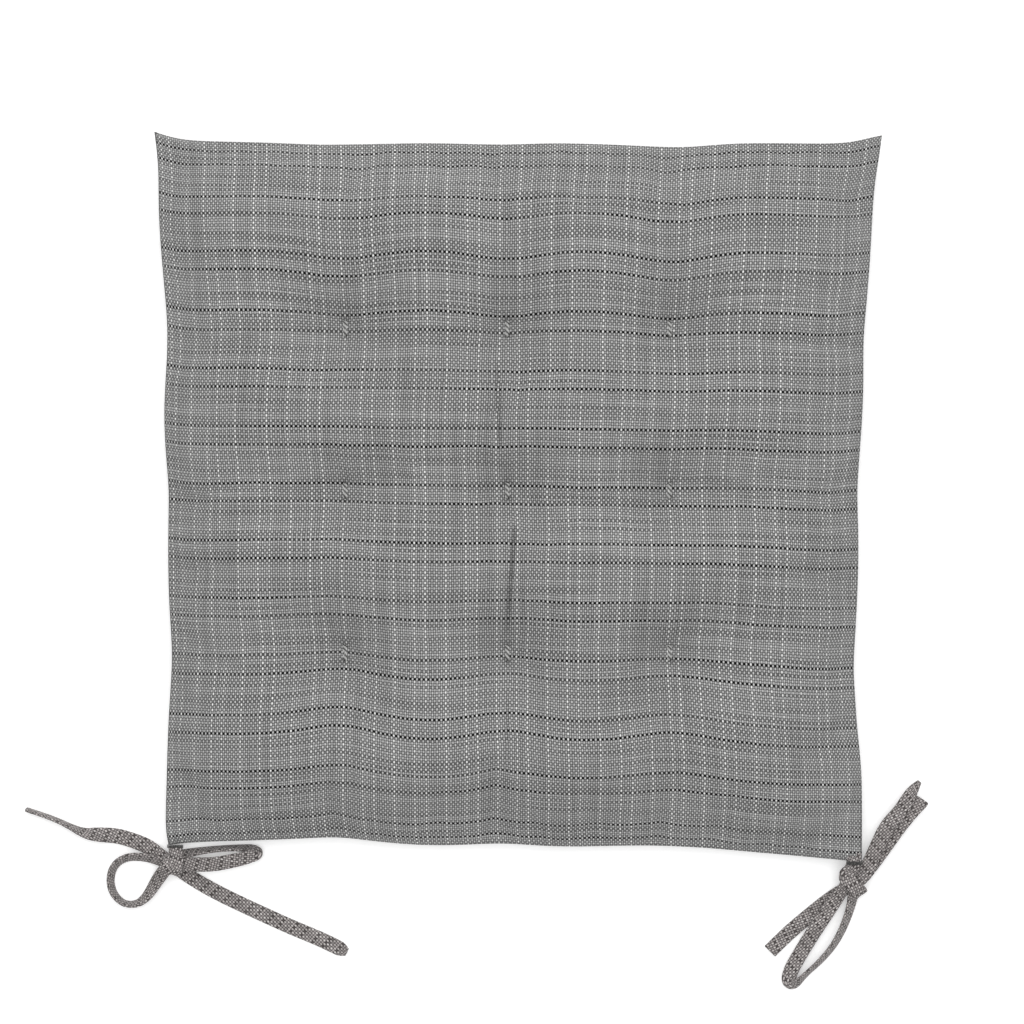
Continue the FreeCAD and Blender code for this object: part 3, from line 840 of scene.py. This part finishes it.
def stripe(add, number, repeat, places):
    """1 on the yarns at these places of a repeat, 0 on the others."""
    place = add("ShaderNodeMath", {0: number, 1: repeat}, operation="FLOORED_MODULO")
    total = 0.0
    for at in places:
        hit = add("ShaderNodeMath", {0: place, 1: at, 2: 0.5}, operation="COMPARE")
        total = add("ShaderNodeMath", {0: total, 1: hit}, operation="ADD")
    return total


def yarn_colour(add, number, along, base, other, stripes, spread, seed):
    """A yarn's colour: its own tone, which drifts along it, or the stripe's colour."""
    apart = add("ShaderNodeMath", {0: number, 1: YARNS_APART}, operation="MULTIPLY")
    slow = add("ShaderNodeMath", {0: along, 1: 1 / DRIFT_LENGTH}, operation="MULTIPLY")
    lane = add("ShaderNodeCombineXYZ", {0: apart, 1: slow, 2: seed})
    drift = add("ShaderNodeTexNoise", {"Vector": lane, "Scale": 1.0, "Detail": 1.0})
    tone = add("ShaderNodeMapRange", {"Value": drift, "From Min": 0.3, "From Max": 0.7,
                                      "To Min": 1 - spread[0], "To Max": 1 + spread[1]})
    # a stripe fades where its yarn drifts dark
    shown = add("ShaderNodeMapRange", {"Value": drift, "From Min": 0.3, "From Max": 0.52,
                                       "To Min": 0.4, "To Max": 1.0})
    share = add("ShaderNodeMath", {0: shown, 1: stripes}, operation="MULTIPLY")
    toned = add("ShaderNodeVectorMath", {0: base[:3], "Scale": tone}, operation="SCALE")
    return add("ShaderNodeMix", {0: share, 6: toned, 7: other}, take=2, data_type="RGBA")


def weave_material(name, colours, warp_stripes, weft_stripes, phase, spread, relief_and_shade, bias=0.0):
    """Plain-woven acrylic: matt, with a soft sheen, a yarn bump and painted shade between yarns."""
    material, add = new_material(name)
    uv = add("ShaderNodeUVMap", uv_map="cloth")
    # the yarns wander a little, and lie at the cloth's bias
    drift = add("ShaderNodeTexNoise", {"Vector": uv, "Scale": WANDER_SCALE, "Detail": 2.0}, take=1)
    centred = add("ShaderNodeVectorMath", {0: drift, 1: (0.5, 0.5, 0.5)}, operation="SUBTRACT")
    small = add("ShaderNodeVectorMath", {0: centred, "Scale": WANDER}, operation="SCALE")
    place = add("ShaderNodeVectorMath", {0: uv, 1: small}, operation="ADD")
    turned_cut = add("ShaderNodeVectorRotate", {"Vector": place, "Angle": bias}, rotation_type="Z_AXIS")
    shifted = add("ShaderNodeVectorMath", {0: turned_cut, 1: (*phase, 0)}, operation="SUBTRACT")
    # whole numbers count the yarns, and the rest says where on its yarn a point is
    counted = add("ShaderNodeVectorMath", {0: shifted, 1: (1 / WARP_PITCH, 1 / WEFT_PITCH, 0)},
                  operation="MULTIPLY")
    whole = add("ShaderNodeVectorMath", {0: counted}, operation="FLOOR")
    part = add("ShaderNodeVectorMath", {0: counted}, operation="FRACTION")
    numbers = add("ShaderNodeSeparateXYZ", {0: whole}).node.outputs
    crossed = add("ShaderNodeMath", {0: numbers[0], 1: numbers[1]}, operation="ADD")
    on_top = add("ShaderNodeMath", {0: crossed, 1: 2.0}, operation="FLOORED_MODULO")
    # each yarn is round across its width and dives under the next one
    turned = add("ShaderNodeVectorMath", {0: part, "Scale": math.pi}, operation="SCALE")
    crown = add("ShaderNodeVectorMath", {0: turned}, operation="SINE")
    crowns = add("ShaderNodeSeparateXYZ", {0: crown}).node.outputs
    both = add("ShaderNodeMath", {0: crowns[0], 1: crowns[1]}, operation="MULTIPLY")
    own = add("ShaderNodeMix", {0: on_top, 2: crowns[1], 3: crowns[0]})
    height = add("ShaderNodeMath", {0: own, 1: both}, operation="ADD")
    height = add("ShaderNodeMath", {0: height, 1: 0.5}, operation="MULTIPLY")
    lengths = add("ShaderNodeSeparateXYZ", {0: uv}).node.outputs
    warp = yarn_colour(add, numbers[0], lengths[1], colours["warp"], colours["white"],
                       stripe(add, numbers[0], *warp_stripes), spread[0], WARP_SEED)
    weft = yarn_colour(add, numbers[1], lengths[0], colours["weft"], colours["dark"],
                       stripe(add, numbers[1], *weft_stripes), spread[1], WEFT_SEED)
    yarn = add("ShaderNodeMix", {0: on_top, 6: weft, 7: warp}, take=2, data_type="RGBA")
    # painted shade: the yarn colour is scaled by the yarn's height, full on each crown and down to the
    # gap value, black, in the gaps between yarns
    shade = add("ShaderNodeMapRange", {"Value": height, "To Min": relief_and_shade["gap"], "To Max": 1.0})
    # broad patches, up to 6% lighter and darker, that scale the painted shade
    broad_noise = add("ShaderNodeTexNoise", {"Vector": uv, "Scale": BROAD_NOISE_SCALE, "Detail": 3.0})
    patches = add("ShaderNodeMapRange", {"Value": broad_noise, "To Min": 0.94, "To Max": 1.06})
    light = add("ShaderNodeMath", {0: shade, 1: patches}, operation="MULTIPLY")
    colour = add("ShaderNodeVectorMath", {0: yarn, "Scale": light}, operation="SCALE")
    bump = add("ShaderNodeBump", {"Height": height, "Strength": relief_and_shade["strength"],
                                  "Distance": relief_and_shade["depth"]})
    shader = add("ShaderNodeBsdfPrincipled", {
        "Base Color": colour, "Roughness": 0.85, "Specular IOR Level": 0.2, "Sheen Weight": 0.08,
        "Sheen Roughness": 0.5, "Normal": bump})
    add("ShaderNodeOutputMaterial", {"Surface": shader})
    print("%s: %d nodes" % (name, len(material.node_tree.nodes)))
    return material


# %% [markdown]
# The cover's colour order is a repeat of 23 warp yarns with three white ones, and of 22 weft yarns
# with two dark ones. The tapes are narrow strips of the same cloth cut a little off the thread, so
# their yarns run slantwise and the repeats rarely fall on them. Each stripes value is a repeat and
# the stripes' places in it, and each spread says how far a yarn's tone drifts down and up, first
# for the warp and then for the weft.

# %% Cover cloth and tie cloth
YARN_RELIEF = 0.35 * MM
TAPE_BIAS = math.radians(20)

# the gap value is how dark the painted shade between the yarns goes: 0 is black
cover_cloth = weave_material(
    "woven_acrylic_cover",
    {"warp": linear("#c9c9c8"), "weft": linear("#9d9d9d"), "white": linear("#f8f8f6"),
     "dark": linear("#000000")},
    warp_stripes=(23.0, (0.0, 9.0, 14.0)), weft_stripes=(22.0, (0.0, 7.0)),
    phase=(8.4 * MM, -5.2 * MM), spread=((0.2, 0.15), (0.6, 0.25)),
    relief_and_shade={"gap": 0.0, "strength": 0.6, "depth": YARN_RELIEF})
tie_cloth = weave_material(
    "woven_acrylic_tape",
    {"warp": linear("#c3bdbb"), "weft": linear("#a9a2a1"), "white": linear("#dcd7d5"),
     "dark": linear("#575150")},
    warp_stripes=(11.0, (2.0,)), weft_stripes=(9.0, (1.0, 5.0)),
    phase=(0.0, 0.0), spread=((0.3, 0.25), (0.6, 0.35)),
    relief_and_shade={"gap": 0.0, "strength": 0.7, "depth": YARN_RELIEF}, bias=TAPE_BIAS)
for panel in (cover_top, cover_bottom):
    panel.data.materials.append(cover_cloth)
for tie in tie_objects:
    tie.data.materials.append(tie_cloth)

# %% [markdown]
# Sewing thread is twisted polyester: a slanting groove at each turn of its plies, painted darker as
# shade, and a slight gloss. The tufting twine is thicker, waxed and paler. The filling is loose
# polyester fibre, white and matt, with soft lumps and painted shade between them.


# %% Thread and fibre
def plain_material(name, light, dark, scale, roughness, depth, kind="ShaderNodeTexNoise", **settings):
    """A material with a fine pattern on object coordinates, in bump and in colour: painted shade where
    low.
    """
    material, add = new_material(name)
    place = add("ShaderNodeTexCoord", take=3)
    pattern = add(kind, {"Vector": place, "Scale": scale}, take=1, **settings)
    grey = add("ShaderNodeSeparateColor", {0: pattern})
    # painted shade: the colour follows the bump's height, darker in the pattern's low parts, the grooves
    # between plies and the hollows between lumps; the tufting twine's pale and dark are partly its own
    # two tones
    colour = add("ShaderNodeMix", {0: grey, 6: linear(dark), 7: linear(light)}, take=2,
                 data_type="RGBA")
    bump = add("ShaderNodeBump", {"Height": grey, "Strength": 0.5, "Distance": depth})
    shader = add("ShaderNodeBsdfPrincipled", {
        "Base Color": colour, "Roughness": roughness, "Normal": bump})
    add("ShaderNodeOutputMaterial", {"Surface": shader})
    print("%s: %d nodes" % (name, len(material.node_tree.nodes)))
    return material


PLIES = {"kind": "ShaderNodeTexWave", "bands_direction": "DIAGONAL"}
sewing_thread = plain_material("twisted_polyester_thread", "#4e4e4d", "#2c2c2b", 900.0, 0.55,
                               0.1 * MM, **PLIES)
tuft_thread = plain_material("waxed_tufting_twine", "#c4c4c2", "#3a3a39", 220.0, 0.5, 0.2 * MM,
                             **PLIES)
fibre = plain_material("polyester_fibre_fill", "#f2f2f0", "#cfcfcc", 120.0, 0.95, 1.5 * MM)
filling.data.materials.append(fibre)

# %% [markdown]
# ## Stitches
# Stitches repeat along a line, so Geometry Nodes make them: the tree takes a line of points, puts a
# place every few millimetres along it, and sets one small arch of thread on each. The arch
# dips into the cloth at both ends, as a real stitch does. The tufts' tree further down starts and
# ends in the same way, so what the two share is written once.


# %% Starting, ending and running a tree
def new_tree(name, output, **inputs):
    """A node tree with named inputs, a shorthand that adds nodes to it, and its inputs' sockets."""
    tree = bpy.data.node_groups.new(name, "GeometryNodeTree")
    for title, kind in inputs.items():
        tree.interface.new_socket(title.replace("_", " "), in_out="INPUT",
                                  socket_type="NodeSocket" + kind)
    tree.interface.new_socket(output, in_out="OUTPUT", socket_type="NodeSocketGeometry")
    add = partial(add_node, tree)
    return tree, add, add("NodeGroupInput").node.outputs


def end_tree(add, laid, thread):
    """Make what is laid out real, give it its thread and send it out of the tree."""
    real = add("GeometryNodeRealizeInstances", {0: laid})
    dyed = add("GeometryNodeSetMaterial", {"Geometry": real, "Material": thread})
    add("NodeGroupOutput", {0: dyed})


def grow(name, tree, points, edges, values, shift=(0, 0, 0)):
    """Run a tree on a line of points, with these inputs, and give a plain mesh object."""
    guide = bpy.data.meshes.new(name + "_line")
    guide.from_pydata([tuple(p) for p in points], edges, [])
    made = put_in_scene(name, guide)
    modifier = made.modifiers.new(tree.name, "NODES")
    modifier.node_group = tree
    for item in tree.interface.items_tree:
        if item.in_out == "INPUT" and item.name in values:
            modifier[item.identifier] = values[item.name]
    shown = made.evaluated_get(bpy.context.evaluated_depsgraph_get())
    mesh = bpy.data.meshes.new_from_object(shown)
    made.modifiers.remove(modifier)
    made.data = mesh
    bpy.data.meshes.remove(guide)
    mesh.transform(Matrix.Translation(shift))
    mesh.shade_smooth()
    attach(made, BODY)
    return made


# %% [markdown]
# One stitch is a short curve with three points, a tube round it, and a copy at each place of the
# line, turned to run along it or, for a bar tack, across it.


# %% The stitch tree
ARCH_STEPS = 5
THREAD_SIDES = 6
# the ends of a stitch dip into the cloth by this share of the thread's width
STITCH_SINK = -0.6


def stitch_tree():
    """A node tree that sews along its line. Its inputs are in metres."""
    tree, add, given = new_tree("stitches", "Stitches", Line="Geometry", Pitch="Float",
                                Stitch_length="Float", Thread_width="Float", Turn="Float",
                                Thread="Material")
    width = given["Thread width"]
    curve = add("GeometryNodeMeshToCurve", {0: given["Line"]})
    spaced = add("GeometryNodeResampleCurve", {"Curve": curve, "Length": given["Pitch"]},
                 mode="LENGTH")
    tangent = add("GeometryNodeInputTangent")
    facing = add("FunctionNodeAlignRotationToVector", {"Vector": tangent}, axis="X", pivot_axis="Z")
    turn = add("ShaderNodeCombineXYZ", {"Z": given["Turn"]})
    turned = add("FunctionNodeRotateRotation", {0: facing, 1: turn}, rotation_space="LOCAL")
    half = add("ShaderNodeMath", {0: given["Stitch length"], 1: 0.5}, operation="MULTIPLY")
    back = add("ShaderNodeMath", {0: half, 1: -1.0}, operation="MULTIPLY")
    sink = add("ShaderNodeMath", {0: width, 1: STITCH_SINK}, operation="MULTIPLY")
    start = add("ShaderNodeCombineXYZ", {"X": back, "Z": sink})
    middle = add("ShaderNodeCombineXYZ", {"Z": width})
    end = add("ShaderNodeCombineXYZ", {"X": half, "Z": sink})
    arch = add("GeometryNodeCurveQuadraticBezier",
               {"Resolution": ARCH_STEPS, "Start": start, "Middle": middle, "End": end})
    radius = add("ShaderNodeMath", {0: width, 1: 0.5}, operation="MULTIPLY")
    section = add("GeometryNodeCurvePrimitiveCircle", {"Resolution": THREAD_SIDES, "Radius": radius})
    stitch = add("GeometryNodeCurveToMesh",
                 {"Curve": arch, "Profile Curve": section, "Fill Caps": True})
    sewn = add("GeometryNodeInstanceOnPoints",
               {"Points": spaced, "Instance": stitch, "Rotation": turned})
    end_tree(add, sewn, given["Thread"])
    return tree


stitches = stitch_tree()
print("stitch tree of %d nodes" % len(stitches.nodes))


def sew(name, line, pitch, length, width, turn=0.0):
    """Sew along a line of points and give the stitches as a plain mesh object."""
    made = grow(name, stitches, line, [(i, i + 1) for i in range(len(line) - 1)],
                {"Pitch": pitch, "Stitch length": length, "Thread width": width, "Turn": turn,
                 "Thread": sewing_thread})
    print("%s: %d faces" % (name, len(made.data.polygons)))
    return made


# %% [markdown]
# The seam is a lockstitch, 3.4 mm in from the knife edge, so its needle thread lies on the upper
# allowance and its bobbin thread under the lower one. The turning gap in the rear edge is sewn
# shut last, with longer stitches. Both are inside the pad, where a look between the panels or a cut
# through them would show them.

# %% Seam stitches
SEAM_INSET = 3.4 * MM
SEAM_PITCH = 2.8 * MM
SEAM_STITCH = 2.4 * MM
SEAM_THREAD = 0.35 * MM
CLOSING_PITCH = 4.5 * MM
CLOSING_STITCH = 3.9 * MM
closing_low, closing_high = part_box("closing_thread")

ring_index = edge_ring(np.arange(top_panel.shape[0] * top_panel.shape[1]).reshape(top_panel.shape[:2]))
ring = top_panel.reshape(-1, 3)[ring_index]
seam_line = ring.copy()
seam_line[:, :2] *= 1 - SEAM_INSET / np.abs(ring[:, :2]).max(axis=0)
over_allowance = CLOTH_THICKNESS + SEAM_THREAD / 2
in_gap = ((seam_line[:, 0] > closing_low.x) & (seam_line[:, 0] < closing_high.x)
          & (seam_line[:, 1] > CORNER_Y / 2))
start = int(np.flatnonzero(in_gap)[-1]) + 1
seam_order = np.roll(seam_line, -start, axis=0)[:int((~in_gap).sum())]
gap_order = seam_line[in_gap]
for side, part in ((1, "needle"), (-1, "bobbin")):
    lift = np.array([0, 0, side * over_allowance])
    seam = sew("seam_%s_stitches" % part, seam_order + lift, SEAM_PITCH, SEAM_STITCH, SEAM_THREAD)
    closing = sew("closing_%s_stitches" % part, gap_order + lift, CLOSING_PITCH, CLOSING_STITCH,
                  SEAM_THREAD)
    if side == 1:
        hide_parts("seam_thread")
        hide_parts("closing_thread")

# %% [markdown]
# A bar of close stitches holds each pair of tapes where they leave the seam.

# %% Bartacks
BAR_OUT = 1.0 * MM
BAR_PITCH = 0.5 * MM
BAR_WIDTH = 2.0 * MM
BAR_THREAD = 0.4 * MM
BAR_RISE = 2.0 * MM
BAR_PLACES = 9
BESIDE_BAR = 4 * MM
REAR_ZONE = 15 * MM
for corner in ("left", "right"):
    low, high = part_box("tie_%s_bartack" % corner)
    beside = np.abs(ring[:, 0] - (low.x + high.x) / 2) < BESIDE_BAR
    edge_y = ring[beside & (ring[:, 1] > CORNER_Y - REAR_ZONE), 1].mean()
    top = SEAM_LEVEL + BAR_RISE + BAR_OUT / 2
    bar = [(x, edge_y + BAR_OUT, top)
           for x in np.linspace(low.x + BAR_PITCH, high.x - BAR_PITCH, BAR_PLACES)]
    tack = sew("tie_%s_bartack_stitches" % corner, bar, BAR_PITCH, BAR_WIDTH, BAR_THREAD, math.pi / 2)
    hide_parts("tie_%s_bartack" % corner)

# %% [markdown]
# A tuft is several turns of thick thread through the whole pad: three strands side by side, each a
# rounded loop with two legs, drawn so tight that its bars sink into the cloth on both faces.


# %% The strand tree
STRAND_SIDES = 8


def strand_tree():
    """A node tree that lays strands side by side along X, each a tube along the given loop."""
    tree, add, given = new_tree("strands", "Tuft", Loop="Geometry", Strands="Int", Spacing="Float",
                                Thread_width="Float", Thread="Material")
    curve = add("GeometryNodeMeshToCurve", {0: given["Loop"]})
    radius = add("ShaderNodeMath", {0: given["Thread width"], 1: 0.5}, operation="MULTIPLY")
    section = add("GeometryNodeCurvePrimitiveCircle", {"Resolution": STRAND_SIDES, "Radius": radius})
    tube = add("GeometryNodeCurveToMesh", {"Curve": curve, "Profile Curve": section})
    gaps = add("ShaderNodeMath", {0: given["Strands"], 1: -1.0}, operation="ADD")
    spread = add("ShaderNodeMath", {0: gaps, 1: given["Spacing"]}, operation="MULTIPLY")
    first = add("ShaderNodeMath", {0: spread, 1: -0.5}, operation="MULTIPLY")
    start = add("ShaderNodeCombineXYZ", {"X": first})
    step = add("ShaderNodeCombineXYZ", {"X": given["Spacing"]})
    row = add("GeometryNodeMeshLine",
              {"Count": given["Strands"], "Start Location": start, "Offset": step})
    laid = add("GeometryNodeInstanceOnPoints", {"Points": row, "Instance": tube})
    end_tree(add, laid, given["Thread"])
    return tree


strands = strand_tree()
print("strand tree of %d nodes" % len(strands.nodes))

# %% [markdown]
# Each loop is an upright rectangle with rounded corners, as tall as the pad is at its tuft. The
# tree works about the middle of the tuft, and the finished strands are then moved to their place.

# %% The nine tufts
STRANDS = 3
STRAND_WIDTH = 0.8 * MM
STRAND_SPACING = 1.03 * STRAND_WIDTH
BAR_SINK = 0.2 * MM
LOOP_CORNER = 1.2 * MM
CORNER_POINTS = 5


def tuft_loop(y, top, low):
    """One turn of thread: a rounded upright rectangle through the pad."""
    points = []
    half_y, half_z = STITCH_HALF, (top - low) / 2
    for quarter in range(4):
        sign_y = 1 if quarter in (0, 3) else -1
        sign_z = 1 if quarter in (0, 1) else -1
        for k in range(CORNER_POINTS):
            turn = (quarter + k / (CORNER_POINTS - 1)) * math.pi / 2
            points.append((0, y + sign_y * (half_y - LOOP_CORNER) + LOOP_CORNER * math.cos(turn),
                           (top + low) / 2 + sign_z * (half_z - LOOP_CORNER)
                           + LOOP_CORNER * math.sin(turn)))
    return points


def panel_height(panel, place):
    """The panel's height at a plan place."""
    return float(panel.reshape(-1, 3)[away_from(panel, place.x, place.y).argmin(), 2])


for node, place in tuft_places.items():
    loop = tuft_loop(place.y, panel_height(top_panel, place) - BAR_SINK,
                     panel_height(low_panel, place) + BAR_SINK)
    tuft = grow(node + "_thread", strands, loop, [(i, (i + 1) % len(loop)) for i in range(len(loop))],
                {"Strands": STRANDS, "Spacing": STRAND_SPACING, "Thread width": STRAND_WIDTH,
                 "Thread": tuft_thread}, shift=(place.x, 0, 0))
    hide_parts(node)
print("%d tufts of %d strands" % (len(tuft_places), STRANDS))

# %% [markdown]
# ## Table and light
# A plain white table top, and the soft, almost shadowless light of a product table: one large
# lamp above, a second one lower at the front edge, and light from all round.

# %% Table and light
TABLE_REACH = 4.0
TABLE_FINISH = {"Base Color": linear("#f7f7f7"), "Roughness": 0.9,
                "Emission Color": linear("#ffffff"), "Emission Strength": 0.25}
table_corners = [(x * TABLE_REACH, y * TABLE_REACH, 0) for x, y in ((-1, -1), (1, -1), (1, 1), (-1, 1))]
floor = new_object("table_top", table_corners, [(0, 1, 2, 3)])
table, add = new_material("matt_white_table")
add("ShaderNodeOutputMaterial", {"Surface": add("ShaderNodeBsdfPrincipled", TABLE_FINISH)})
floor.data.materials.append(table)


def add_lamp(name, place, size, power):
    """A large soft lamp at a place, turned towards the middle of the table."""
    data = bpy.data.lights.new(name, "AREA")
    data.shape = "SQUARE"
    data.size = size
    data.energy = power
    lamp = put_in_scene(name, data)
    lamp.location = place
    lamp.rotation_euler = (-Vector(place)).to_track_quat("-Z", "Y").to_euler()
    print("%s: %.1f m wide, %d W" % (name, size, power))


add_lamp("overhead_softbox", (0, 0, 2.4), 2.4, 36)
add_lamp("front_softbox", (0, -1.9, 1.3), 1.4, 16)
world = bpy.data.worlds.new("studio")
world.use_nodes = True
surround = world.node_tree.nodes["Background"].inputs
surround["Color"].default_value = linear("#ffffff")
surround["Strength"].default_value = 0.55
bpy.context.scene.world = world
